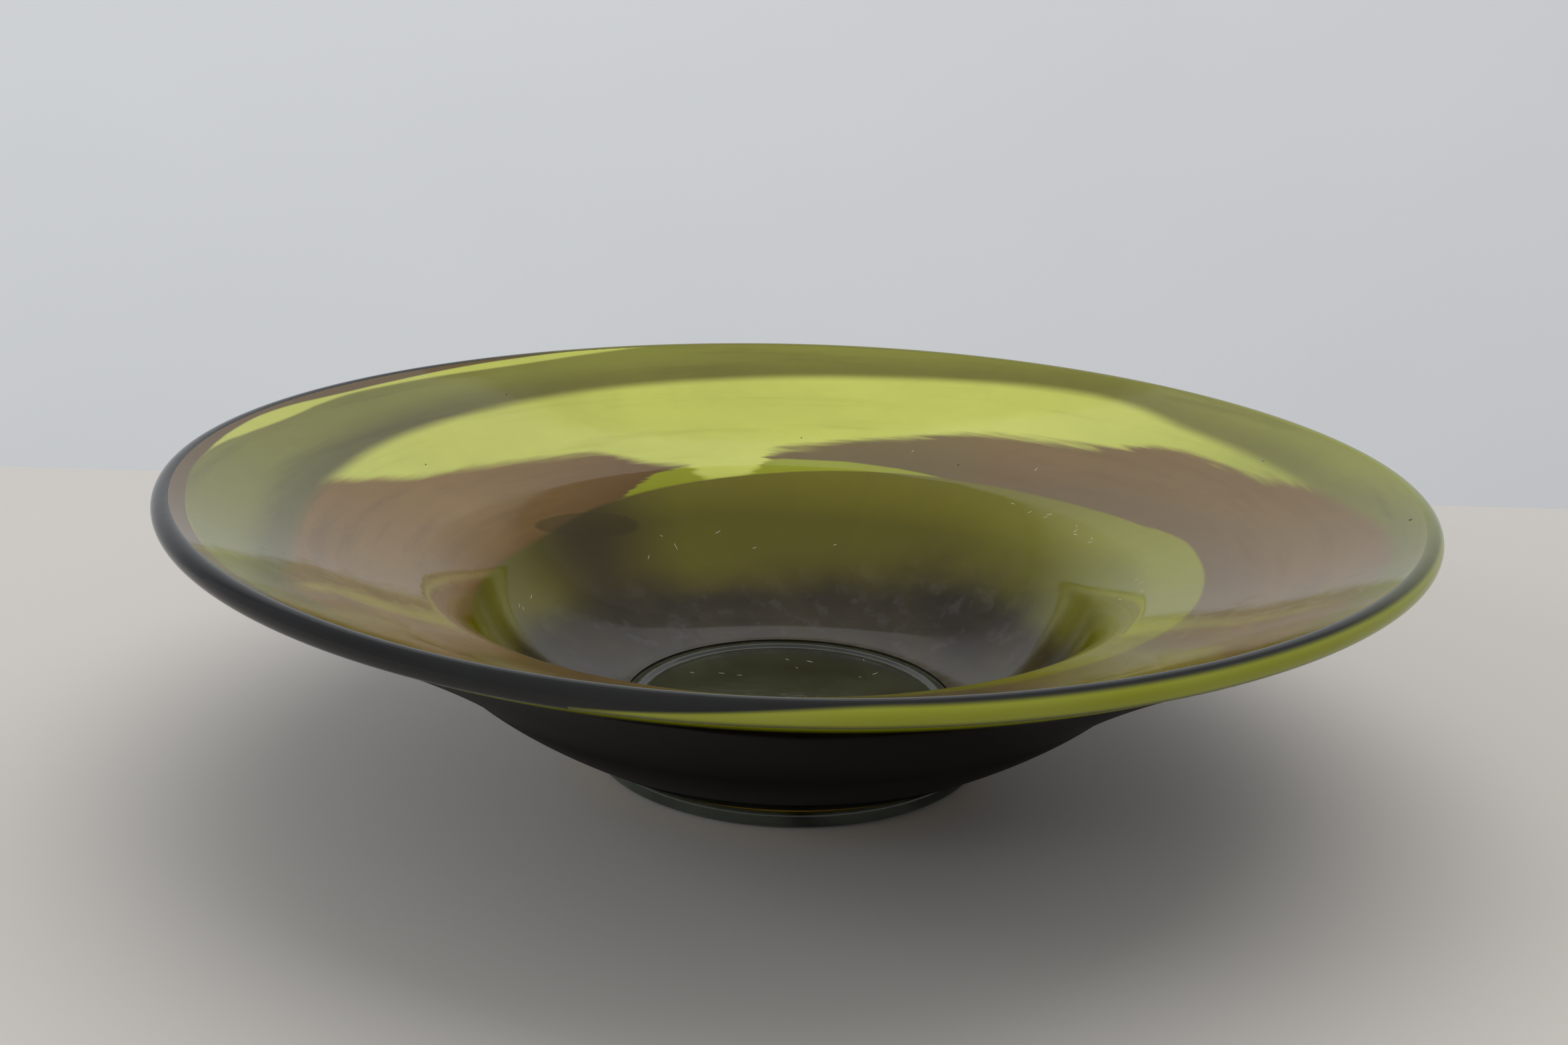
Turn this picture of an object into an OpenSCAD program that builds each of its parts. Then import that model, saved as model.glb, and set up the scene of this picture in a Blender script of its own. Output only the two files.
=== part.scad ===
// Art glass bowl: a wide, shallow blown bowl with a flared rim, cased in dark
// smoky glass and lined with swirled olive, lime, amber and smoke colour fields,
// standing on a low applied foot.
// Origin: centre of the foot's underside. +Z up, the bowl's axis. Millimetres.
// Angles run counter-clockwise seen from above: 0 right, 90 back, 270 front.

/* [Bowl] */

// overall diameter across the lip
rim_d = 320; // [240:5:400]
// overall height, table to top of lip
bowl_h = 78.4; // [60:0.2:110]
// thickness of the rounded lip
lip_t = 5.7; // [4:0.1:10]
// diameter of the shoulder where the well meets the flange
shoulder_d = 161; // [140:2:210]
// height of the shoulder's lower edge above the table
shoulder_h = 40; // [30:0.5:52]
// how far the shoulder rolls over before the flange starts
shoulder_roll = 13.5; // [6:0.5:20]
// height of the flange just outside the shoulder
flange_h = 52.1; // [45:0.2:70]
// diameter of the level floor in the well
floor_d = 72; // [40:2:90]
// height of the well's floor above the table
floor_h = 13.6; // [9:0.2:20]

/* [Body and foot] */

// diameter of the body where it meets the foot
body_foot_d = 101; // [80:1:130]
// radius where the body stops being a bowl and becomes the flange
flare_r = 90; // [75:1:110]
// height of that turn on the outside
flare_h = 30; // [22:0.5:42]
// diameter of the applied foot
foot_d = 103; // [80:1:130]
// height of the applied foot
foot_h = 4.2; // [2:0.2:10]
// diameter of the ground recess under the foot
recess_d = 74; // [50:1:100]
// depth of the ground recess
recess_h = 1.4; // [0.6:0.2:3]

/* [Base lens] */

// diameter of the clear disc in the middle of the well
lens_d = 87; // [50:1:100]
// width of the bright ring that edges the clear disc
lens_ring_w = 3; // [1:0.5:6]
// height of the step between the ring and the disc
lens_step = 0.5; // [0.2:0.1:1]

/* [Colour fields] */

// thickness of the colour lining
lining_t = 2.4; // [1.2:0.2:4]
// edge of the smoke pool: radius, and its centre to the right and back
pool_edge_at = [78, 1, -4]; // [-200:0.5:200]
// edge of the green well field
green_edge_at = [95, 11, -4]; // [-200:0.5:200]
// edge of the lime tongue that shows just outside the green field
tongue_edge_at = [79.5, 2, 18]; // [-200:0.5:200]
// outer edge of the amber field at the back
amber_edge_at = [137, 8, -32]; // [-200:0.5:200]
// inner edge of the olive flange band
olive_edge_at = [136.5, 9, 3]; // [-200:0.5:200]
// outer edge of the olive band on the left
sliver_in_at = [159.5, 9, 2]; // [-200:0.5:200]
// outer edge of the thin lime sliver
sliver_out_at = [157.6, 6, 7]; // [-200:0.5:200]
// how far left of the axis the sliver and the smoky edge stop
left_zone_x = 95; // [60:5:130]
// how far back of the axis the smoky edge stops
edge_zone_y = 45; // [10:5:80]

/* [Lip] */

// where the smoke-grey part of the lip starts
smoke_from = 120; // [90:1:160]
// where the smoke-grey part of the lip ends
smoke_to = 255; // [200:1:270]

/* [Hidden] */

$fn = 180;
rim_r = rim_d / 2;
lip_r = lip_t / 2;
lip_c = [rim_r - lip_r, bowl_h - lip_r];
shoulder_r = shoulder_d / 2;
floor_r = floor_d / 2;
lens_r = lens_d / 2;
foot_r = foot_d / 2;

// a point on a quadratic curve, and on a cubic curve
function quad(a, b, c, t) = (1-t)*(1-t)*a + 2*t*(1-t)*b + t*t*c;
function cube3(a, b, c, d, t) =
    pow(1-t, 3)*a + 3*t*pow(1-t, 2)*b + 3*t*t*(1-t)*c + pow(t, 3)*d;

// The inside surface, from the floor's edge to where it rolls into the lip:
// a level floor that sweeps up, a rolled shoulder and a gently hollow flange.
lip_in = lip_c + lip_r * [cos(117), sin(117)];
flange_0 = [shoulder_r + shoulder_roll, flange_h];
inside = concat(
    [for (t = [0 : 1/6 : 1])
        cube3([floor_r, floor_h], [floor_r + 24, floor_h],
              [shoulder_r - 6.5, shoulder_h - 12], [shoulder_r, shoulder_h], t)],
    [for (t = [1/4 : 1/4 : 1])
        quad([shoulder_r, shoulder_h],
             [shoulder_r + 4, shoulder_h + 7.4], flange_0, t)],
    [for (t = [1/6 : 1/6 : 1])
        quad(flange_0, [(flange_0[0] + lip_in[0])/2, flange_h + 9.5],
             lip_in, t)]);

// The same curve moved into the glass by a distance.
function unit(v) = v / norm(v);
function into(p, i, d) =
    let (n = len(p) - 1,
         t = unit(p[min(i + 1, n)] - p[max(i - 1, 0)]))
    p[i] + d*[t[1], -t[0]];
function sunk(p, d) = [for (i = [0 : len(p) - 1]) into(p, i, d)];
lined = sunk(inside, lining_t);

// The outside, from the foot up the body and along the flange's underside.
lip_under = lip_c + (lip_r - 0.25) * [cos(-62), sin(-62)];
outside = concat(
    [for (t = [0 : 1/6 : 1])
        cube3([body_foot_d/2, foot_h], [body_foot_d/2 + 11.5, foot_h + 5.8],
              [flare_r - 10, flare_h - 9.5], [flare_r, flare_h], t)],
    [for (t = [1/6 : 1/6 : 1])
        cube3([flare_r, flare_h], [flare_r + 10, flare_h + 9.5],
              lip_under - [21.5, 10.6], lip_under, t)]);

// A full turn of a lip-shaped ring, used for the lip and to trim what meets it.
module lip_section() translate(lip_c) circle(lip_r);

// The whole colour lining as one shell.
module lining() {
    rotate_extrude() difference() {
        polygon(concat([[lens_r, floor_h + 0.2], [lens_r, floor_h - lining_t]],
                       [for (p = lined) if (p[0] > lens_r + 0.5) p],
                       [lip_c],
                       [for (i = [len(inside) - 1 : -1 : 0])
                           if (inside[i][0] > lens_r + 0.5) inside[i]]));
        lip_section();
    }
}

// A tall round column standing on a field's edge circle.
module field(e) translate([e[1], e[2], -1]) cylinder(r = e[0], h = bowl_h + 20);

module outer_casing() color([0.10, 0.07, 0.04])
    rotate_extrude() difference() {
        polygon(concat([[lens_r, floor_h - lining_t], [lens_r, foot_h]],
                       outside, [lip_c],
                       [for (i = [len(lined) - 1 : -1 : 0])
                           if (lined[i][0] > lens_r + 0.5) lined[i]]));
        lip_section();
    }

module foot_disc() color([0.22, 0.26, 0.18])
    difference() {
        rotate_extrude() polygon([
            [0, 0], [foot_r - 1.6, 0], [foot_r - 0.5, 0.5], [foot_r, 1.6],
            [foot_r, foot_h - 1.2], [foot_r - 0.4, foot_h - 0.4],
            [foot_r - 1.2, foot_h], [0, foot_h]]);
        translate([0, 0, -1]) cylinder(d = recess_d, h = 1 + recess_h);
    }

module base_lens() color([0.30, 0.33, 0.26])
    rotate_extrude() polygon([
        [0, foot_h], [lens_r, foot_h], [lens_r, floor_h + 0.2],
        [lens_r - lens_ring_w, floor_h + 0.1],
        [lens_r - lens_ring_w - 0.6, floor_h + 0.1 - lens_step],
        [0, floor_h - lens_step]]);

module smoke_pool() color([0.20, 0.17, 0.14])
    intersection() { lining(); field(pool_edge_at); }

module green_well() color([0.38, 0.42, 0.12])
    difference() {
        intersection() { lining(); field(green_edge_at); }
        field(pool_edge_at);
    }

module amber_band() color([0.44, 0.33, 0.20])
    difference() {
        intersection() { lining(); field(olive_edge_at); field(amber_edge_at); }
        field(green_edge_at);
        field(tongue_edge_at);
    }

module lime_crescent() color([0.72, 0.76, 0.34])
    difference() {
        intersection() { lining(); field(olive_edge_at); }
        field(amber_edge_at);
    }

module lime_tongue() color([0.66, 0.72, 0.22])
    difference() {
        intersection() { lining(); field(tongue_edge_at); }
        field(green_edge_at);
    }

// Everything well to the left of the axis.
module left_zone()
    translate([-rim_d, -rim_d, -1]) cube([rim_d - left_zone_x, 2*rim_d, bowl_h + 20]);

// The part of it where the smoky edge shows.
module edge_zone()
    translate([-rim_d, -rim_d, -1])
        cube([rim_d - left_zone_x, rim_d + edge_zone_y, bowl_h + 20]);

module olive_band() color([0.45, 0.46, 0.26])
    difference() {
        lining();
        field(olive_edge_at);
        difference() { left_zone(); field(sliver_in_at); }
    }

module lime_sliver() color([0.62, 0.62, 0.32])
    difference() {
        intersection() { lining(); left_zone(); }
        field(sliver_in_at);
        difference() { edge_zone(); field(sliver_out_at); }
    }

module smoke_edge() color([0.42, 0.38, 0.30])
    difference() {
        intersection() { lining(); edge_zone(); }
        field(sliver_in_at);
        field(sliver_out_at);
    }

module lip_lime() color([0.55, 0.55, 0.16])
    rotate([0, 0, smoke_to])
        rotate_extrude(angle = 360 - (smoke_to - smoke_from)) lip_section();

module lip_smoke() color([0.18, 0.18, 0.18])
    rotate([0, 0, smoke_from])
        rotate_extrude(angle = smoke_to - smoke_from) lip_section();

outer_casing();
foot_disc();
base_lens();
smoke_pool();
green_well();
amber_band();
lime_crescent();
lime_tongue();
olive_band();
lime_sliver();
smoke_edge();
lip_lime();
lip_smoke();
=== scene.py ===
"""A wide blown glass bowl with a swirled lining, a rounded lip and a low foot.

Lengths are metres and the bowl stands on the floor at z = 0, its axis on Z. Angles
run counter-clockwise seen from above: 0 right, 90 back, 180 left, 270 front.
"""

import logging
import math
from contextlib import contextmanager
from dataclasses import dataclass, field
from enum import Enum
from typing import Iterator, Sequence, Union

import bpy
import numpy as np
from mathutils import Matrix, Vector


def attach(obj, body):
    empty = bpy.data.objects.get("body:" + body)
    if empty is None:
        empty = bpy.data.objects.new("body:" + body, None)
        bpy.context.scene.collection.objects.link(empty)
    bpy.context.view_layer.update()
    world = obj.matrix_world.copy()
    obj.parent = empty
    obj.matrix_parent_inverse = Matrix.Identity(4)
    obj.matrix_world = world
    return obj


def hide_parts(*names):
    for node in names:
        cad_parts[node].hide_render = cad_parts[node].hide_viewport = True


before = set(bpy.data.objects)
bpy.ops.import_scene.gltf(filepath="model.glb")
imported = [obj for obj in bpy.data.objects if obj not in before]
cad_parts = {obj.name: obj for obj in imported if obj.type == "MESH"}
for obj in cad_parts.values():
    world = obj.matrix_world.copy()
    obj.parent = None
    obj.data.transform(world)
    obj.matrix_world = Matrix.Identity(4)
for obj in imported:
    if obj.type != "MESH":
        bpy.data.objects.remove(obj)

logging.basicConfig(level=logging.INFO, format="%(name)s: %(message)s")
LOG = logging.getLogger("bowl")

MM = 0.001
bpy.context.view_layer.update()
Point = tuple[float, float]
Spot = tuple[float, float, float, float, float]
Triple = tuple[float, float, float]
Colour = Triple
Socket = Union[bpy.types.NodeSocket, float]


def linear(red: int, green: int, blue: int) -> Colour:
    """Turns a screen colour into the linear colour a shader wants.

    Args:
        red: Red, 0 to 255.
        green: Green, 0 to 255.
        blue: Blue, 0 to 255.

    Returns:
        The three channels, linear, 0 to 1.
    """

    def channel(value: int) -> float:
        """One channel from screen to linear."""
        v = value / 255.0
        return v / 12.92 if v <= 0.04045 else ((v + 0.055) / 1.055) ** 2.4

    return channel(red), channel(green), channel(blue)


class Hue(Enum):
    """The glass colours of the bowl, and the tones of its painted glow, as linear
    colours.
    """

    LIME = linear(184, 188, 86)
    LIME_DULL = linear(146, 150, 56)
    LIME_DEEP = linear(132, 137, 15)
    OLIVE = linear(105, 103, 36)
    OLIVE_GREY = linear(90, 86, 40)
    AMBER = linear(121, 92, 42)
    AMBER_DARK = linear(92, 67, 27)
    AMBER_GREY = linear(97, 77, 45)
    GREEN_BRIGHT = linear(124, 124, 34)
    GREEN = linear(98, 92, 10)
    GREEN_DARK = linear(58, 48, 6)
    SMOKE = linear(46, 38, 18)
    SMOKE_DARK = linear(32, 24, 10)
    SMOKE_VIOLET = linear(60, 54, 50)
    STEEL = linear(24, 24, 24)
    STEEL_DARK = linear(8, 8, 9)
    CASING = linear(8, 5, 3)
    CASING_BROWN = linear(20, 13, 5)
    # painted glow: ochre of light shining through the glass above the foot
    OCHRE = linear(196, 156, 44)
    LENS = linear(52, 54, 44)
    LENS_DARK = linear(34, 36, 28)
    FOOT = linear(150, 160, 140)
    FLECK = linear(225, 226, 214)


# Shape of the bowl


@dataclass(frozen=True)
class Form:
    """The turned shape of the bowl, in millimetres, as radius and height.

    Attributes:
        rim_r: Outer radius of the lip.
        height: Height of the lip's top.
        lip_r: Radius of the lip's round section.
        shoulder_r: Radius where the well meets the flange.
        shoulder_h: Height of the shoulder's lower edge.
        shoulder_roll: How far the shoulder rolls over.
        flange_h: Height of the flange just outside the shoulder.
        floor_r: Radius of the level floor.
        floor_h: Height of the floor.
        foot_r: Radius of the foot.
        foot_h: Height of the foot.
        body_r: Radius of the body on the foot.
        flare_r: Radius where the body turns into the flange.
        flare_h: Height of that turn.
        lens_r: Radius of the clear disc in the floor.
        lining: Thickness of the colour lining.
        top_at: Angle on the lip's section where the inside surface meets it.
        under_at: Angle on it where the outside surface meets it.
    """

    rim_r: float = 160.0
    height: float = 78.4
    lip_r: float = 2.85
    shoulder_r: float = 80.5
    shoulder_h: float = 40.0
    shoulder_roll: float = 13.5
    flange_h: float = 52.1
    floor_r: float = 36.0
    floor_h: float = 13.6
    foot_r: float = 51.5
    foot_h: float = 4.2
    body_r: float = 50.5
    flare_r: float = 90.0
    flare_h: float = 30.0
    lens_r: float = 43.5
    lining: float = 2.4
    top_at: float = 117.0
    under_at: float = -62.0

    @property
    def lip_centre(self) -> Point:
        """Centre of the lip's round section."""
        return self.rim_r - self.lip_r, self.height - self.lip_r

    def on_lip(self, degrees: float) -> Point:
        """A point on the lip's section at an angle from the outward direction."""
        a, (cr, cz) = math.radians(degrees), self.lip_centre
        return cr + self.lip_r * math.cos(a), cz + self.lip_r * math.sin(a)

    def inside(self) -> np.ndarray:
        """The inside surface, from the lens's edge to the lip.

        Returns:
            Points as rows of radius and height, in millimetres.
        """
        start = (self.shoulder_r + self.shoulder_roll, self.flange_h)
        end = self.on_lip(self.top_at)
        turn = (self.shoulder_r, self.shoulder_h)
        knee = (self.shoulder_r + 4, self.shoulder_h + 7.4)
        middle = ((start[0] + end[0]) / 2, self.flange_h + 9.5)
        rows = cubic((self.floor_r, self.floor_h), (self.floor_r + 24, self.floor_h),
                     (self.shoulder_r - 6.5, self.shoulder_h - 12), turn, 36)
        rows += quadratic(turn, knee, start, 14)[1:]
        rows += quadratic(start, middle, end, 40)[1:]
        path = np.array(rows)
        first = (self.lens_r, float(np.interp(self.lens_r, path[:, 0], path[:, 1])))
        return np.vstack([[first], path[path[:, 0] > self.lens_r + 0.1]])

    def outside(self) -> np.ndarray:
        """The outside surface, from the foot to the lip's underside."""
        under = self.on_lip(self.under_at)
        rows = cubic((self.body_r, self.foot_h),
                     (self.body_r + 11.5, self.foot_h + 5.8),
                     (self.flare_r - 10, self.flare_h - 9.5),
                     (self.flare_r, self.flare_h), 28)
        rows += cubic((self.flare_r, self.flare_h),
                      (self.flare_r + 10, self.flare_h + 9.5),
                      (under[0] - 21.5, under[1] - 10.6), under, 28)[1:]
        return np.array(rows)


def quadratic(a: Point, b: Point, c: Point, steps: int) -> list[Point]:
    """Points along a quadratic curve with one control point."""
    return [((1 - t) ** 2 * a[0] + 2 * t * (1 - t) * b[0] + t * t * c[0],
             (1 - t) ** 2 * a[1] + 2 * t * (1 - t) * b[1] + t * t * c[1])
            for t in np.linspace(0, 1, steps + 1)]


def cubic(a: Point, b: Point, c: Point, d: Point, steps: int) -> list[Point]:
    """Points along a cubic curve with two control points."""
    return [tuple((1 - t) ** 3 * a[i] + 3 * t * (1 - t) ** 2 * b[i]
                  + 3 * t * t * (1 - t) * c[i] + t ** 3 * d[i] for i in (0, 1))
            for t in np.linspace(0, 1, steps + 1)]


def sunk(path: np.ndarray, depth: float) -> np.ndarray:
    """The path moved into the glass, to its right-hand side, by a depth."""
    along = np.gradient(path, axis=0)
    along /= np.linalg.norm(along, axis=1)[:, None]
    return path + depth * np.stack([along[:, 1], -along[:, 0]], axis=1)


OUTSIDE = Form().outside()


class Track:
    """The inside surface measured along its own length.

    Args:
        path: Rows of radius and height, in millimetres.
    """

    def __init__(self, path: np.ndarray) -> None:
        """Measures the path."""
        self.path = path
        steps = np.linalg.norm(np.diff(path, axis=0), axis=1)
        self.run = np.concatenate([[0.0], np.cumsum(steps)])

    @property
    def length(self) -> float:
        """Length of the whole path."""
        return float(self.run[-1])

    def run_at(self, radius: np.ndarray) -> np.ndarray:
        """How far along the path each radius lies."""
        nudge = np.arange(len(self.path)) * 1e-7
        order = np.maximum.accumulate(self.path[:, 0] + nudge)
        return np.interp(radius, order, self.run)

    def place(self, run: np.ndarray) -> tuple[np.ndarray, np.ndarray]:
        """Radius and height at each distance along the path."""
        return (np.interp(run, self.run, self.path[:, 0]),
                np.interp(run, self.run, self.path[:, 1]))


def rim_sway(turn: np.ndarray) -> tuple[np.ndarray, np.ndarray]:
    """How far the hand-made rim strays from a true ring, never outwards or up.

    Args:
        turn: Angles in radians.

    Returns:
        The change in radius and in height, in millimetres.
    """
    out = -1.1 - 1.1 * np.sin(2 * turn)
    up = (0.7 * np.cos(2 * turn) - 0.2 * np.sin(turn) - 0.2 * np.cos(3 * turn)
          - 0.4 * np.sin(3 * turn) - 1.1)
    return out, up


def hand_made(co: np.ndarray) -> np.ndarray:
    """Gives turned points the slight unevenness of blown glass.

    The rim sways a little, and the well sits a little left of the axis.

    Args:
        co: Points as rows of x, y and z, in metres.

    Returns:
        The same points, moved by less than three millimetres.
    """
    sway_from, sway_over, sway_bend = 55.0, 95.0, 1.5
    well_from, well_over = 52.0, 26.0
    well_to, well_fade = 140.0, 36.0
    well_left, well_depth = 2.3, 10.0
    x, y, z = co[:, 0], co[:, 1], co[:, 2]
    radius = np.hypot(x, y)
    far = radius / MM
    out, up = rim_sway(np.arctan2(y, x))
    reach = np.clip((far - sway_from) / sway_over, 0, 1) ** sway_bend
    under = np.interp(far, OUTSIDE[:, 0], OUTSIDE[:, 1])
    inner = np.clip((z / MM - under) / well_depth, 0, 1)
    near = (np.clip((far - well_from) / well_over, 0, 1)
            * np.clip((well_to - far) / well_fade, 0, 1))
    grow = 1 + out * MM * reach / np.maximum(radius, 1e-6)
    shift = -well_left * MM * inner * near * near * (3 - 2 * near)
    return np.stack([x * grow + shift, y * grow, z + up * MM * reach], axis=1)


class Edge(Enum):
    """The lining's edges, in order from the middle outwards."""

    LENS = 0
    POOL = 1
    GREEN = 2
    TONGUE = 3
    AMBER = 4
    OLIVE = 5
    STREAK_IN = 6
    STREAK_OUT = 7
    LIP = 8


# The edges between two colours, as angle in degrees and radius in millimetres.
DRAWN: dict[Edge, tuple[Point, ...]] = {
    # smoke to green
    Edge.POOL: (
        (0, 80), (50, 77), (100, 73), (140, 74), (175, 78), (240, 82), (310, 82)),
    # green to amber
    Edge.GREEN: (
        (5, 105), (20, 100), (40, 96), (75, 93), (95, 91), (130, 87), (150, 84),
        (190, 83), (215, 89), (270, 97), (340, 105)),
    # lime tongue to amber
    Edge.TONGUE: (
        (0, 80), (45, 88), (57, 93), (70, 96), (90, 98), (113, 95), (128, 87),
        (180, 78), (270, 78)),
    # amber to lime
    Edge.AMBER: (
        (0, 148), (8, 140), (14, 135), (34, 131), (42, 124), (60, 118), (80, 107),
        (94, 101), (97, 94), (100, 88), (107, 88), (110, 96), (119, 101), (122, 108),
        (136, 110), (155, 115), (163, 121), (172, 129), (195, 146), (270, 153),
        (345, 152)),
    # lime and amber to olive
    Edge.OLIVE: (
        (12, 140), (32, 141), (50, 146), (80, 142), (120, 138), (150, 133),
        (172, 128), (190, 126), (205, 130), (212, 135), (245, 140), (300, 147),
        (340, 149)),
    # olive to the lime streak
    Edge.STREAK_IN: (
        (0, 160), (70, 160), (100, 157), (130, 152), (150, 152), (163, 150),
        (180, 152), (200, 150), (235, 151), (270, 158)),
    # the streak to the strip beside the lip
    Edge.STREAK_OUT: (
        (0, 158), (60, 158), (100, 157), (126, 155), (150, 153), (163, 154),
        (180, 152), (200, 150), (240, 151), (280, 157)),
}


def drawn_radius(edge: Edge, degrees: np.ndarray) -> np.ndarray:
    """Radius of a drawn edge at each angle, on one smooth closed curve.

    Args:
        edge: The edge.
        degrees: Angles in degrees.

    Returns:
        Radii in millimetres.
    """
    a, r = np.array(sorted(DRAWN[edge]), float).T
    a, r = np.concatenate([a - 360, a, a + 360]), np.concatenate([r, r, r])
    rise = np.diff(r) / np.diff(a)
    same = rise[1:] * rise[:-1] > 0
    mean = np.where(same, 2 * rise[1:] * rise[:-1]
                    / np.where(same, rise[1:] + rise[:-1], 1), 0)
    slope = np.concatenate([[0], mean, [0]])
    x = np.mod(np.asarray(degrees, float), 360)
    i = np.clip(np.searchsorted(a, x) - 1, 0, len(a) - 2)
    h = a[i + 1] - a[i]
    t = (x - a[i]) / h
    return ((2 * t ** 3 - 3 * t ** 2 + 1) * r[i]
            + (t ** 3 - 2 * t ** 2 + t) * h * slope[i]
            + (3 * t ** 2 - 2 * t ** 3) * r[i + 1]
            + (t ** 3 - t ** 2) * h * slope[i + 1])


def edge_radius(form: Form, edge: Edge, degrees: np.ndarray) -> np.ndarray:
    """Radius of an edge at each angle, never inside the edge before it.

    Args:
        form: The bowl's shape.
        edge: The edge.
        degrees: Angles in degrees.

    Returns:
        Radii in millimetres.
    """
    if edge is Edge.LENS:
        return np.full_like(degrees, form.lens_r)
    if edge is Edge.LIP:
        return np.full_like(degrees, form.on_lip(form.top_at)[0])
    own = drawn_radius(edge, degrees)
    if edge is Edge.AMBER:
        own = np.minimum(own, drawn_radius(Edge.OLIVE, degrees))
    return np.maximum(own, edge_radius(form, Edge(edge.value - 1), degrees))


@dataclass(frozen=True)
class PaintedLeafReflection:
    """A leaf-shaped dark reflection painted into the green field.

    Attributes:
        angle: Angle of its middle, in degrees.
        radius: Radius of its middle, in millimetres.
        half_angle: Half its length, in degrees.
        half_width: Half its width, in millimetres.
        lean: How much further out its far end lies than its middle.
    """

    angle: float = 136.0
    radius: float = 84.0
    half_angle: float = 12.0
    half_width: float = 2.3
    lean: float = 2.3


# Modelling bench


class Bench:
    """Small modelling steps shared by every piece.

    Attributes:
        MERGE: Points closer than this are made one, in metres.
    """

    MERGE = 2e-6

    @staticmethod
    def clear() -> None:
        """Leaves object mode with nothing selected."""
        if bpy.context.object and bpy.context.object.mode != "OBJECT":
            bpy.ops.object.mode_set(mode="OBJECT")
        bpy.ops.object.select_all(action="DESELECT")

    @staticmethod
    def take(obj: bpy.types.Object) -> None:
        """Selects one object alone and makes it active."""
        Bench.clear()
        bpy.context.view_layer.objects.active = obj
        obj.select_set(True)

    @staticmethod
    @contextmanager
    def editing(obj: bpy.types.Object) -> Iterator[None]:
        """Opens a mesh in edit mode with everything selected, then closes it."""
        Bench.take(obj)
        bpy.ops.object.mode_set(mode="EDIT")
        bpy.ops.mesh.select_all(action="SELECT")
        yield
        bpy.ops.object.mode_set(mode="OBJECT")

    @staticmethod
    def apply(obj: bpy.types.Object, modifier: bpy.types.Modifier) -> None:
        """Applies a modifier to its object's mesh."""
        Bench.take(obj)
        bpy.ops.object.modifier_apply(modifier=modifier.name)

    @staticmethod
    def smooth(obj: bpy.types.Object, degrees: float) -> None:
        """Shades a mesh smooth, keeping edges sharper than an angle."""
        Bench.take(obj)
        bpy.ops.object.shade_smooth_by_angle(angle=math.radians(degrees))

    @staticmethod
    def points(obj: bpy.types.Object) -> np.ndarray:
        """The mesh's vertices as rows of x, y and z."""
        co = np.zeros(len(obj.data.vertices) * 3)
        obj.data.vertices.foreach_get("co", co)
        return co.reshape(-1, 3)

    @staticmethod
    def place(obj: bpy.types.Object, co: np.ndarray) -> None:
        """Puts the mesh's vertices at new places."""
        obj.data.vertices.foreach_set("co", np.ascontiguousarray(co).ravel())
        obj.data.update()

    @staticmethod
    def turned(name: str, section: Sequence[Point], steps: int = 256,
               start: float = 0.0, sweep: float = 360.0) -> bpy.types.Object:
        """Turns a section round the bowl's axis into a closed solid.

        Args:
            name: Name of the piece.
            section: Closed outline as radius and height, in millimetres. An outline
                that starts and ends on the axis is left open along the axis.
            steps: How many steps the turn takes.
            start: Angle where the turn starts, in degrees.
            sweep: How far it goes, in degrees.

        Returns:
            The new object.
        """
        Bench.clear()
        bpy.ops.mesh.primitive_circle_add(vertices=len(section), radius=0.1)
        obj = bpy.context.object
        obj.name = obj.data.name = name
        a = math.radians(start)
        Bench.place(obj, np.array([(r * MM * math.cos(a), r * MM * math.sin(a), z * MM)
                                   for r, z in section]))
        on_axis = section[0][0] < 1e-6 and section[-1][0] < 1e-6
        with Bench.editing(obj):
            if on_axis:
                bpy.ops.mesh.select_all(action="DESELECT")
                bpy.ops.object.mode_set(mode="OBJECT")
                last = len(section) - 1
                for edge in obj.data.edges:
                    edge.select = set(edge.vertices) == {0, last}
                bpy.ops.object.mode_set(mode="EDIT")
                bpy.ops.mesh.select_mode(type="EDGE")
                bpy.ops.mesh.delete(type="EDGE")
                bpy.ops.mesh.select_mode(type="VERT")
                bpy.ops.mesh.select_all(action="SELECT")
            bpy.ops.mesh.spin(steps=steps, angle=math.radians(sweep),
                              center=(0, 0, 0), axis=(0, 0, -1))
            bpy.ops.mesh.select_all(action="SELECT")
            bpy.ops.mesh.remove_doubles(threshold=Bench.MERGE)
            if sweep < 360.0:
                bpy.ops.mesh.select_all(action="DESELECT")
                bpy.ops.mesh.select_non_manifold()
                bpy.ops.mesh.fill_holes(sides=0)
                bpy.ops.mesh.select_all(action="SELECT")
            bpy.ops.mesh.normals_make_consistent(inside=False)
        Bench.place(obj, hand_made(Bench.points(obj)))
        return obj


# Shader bench


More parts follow.
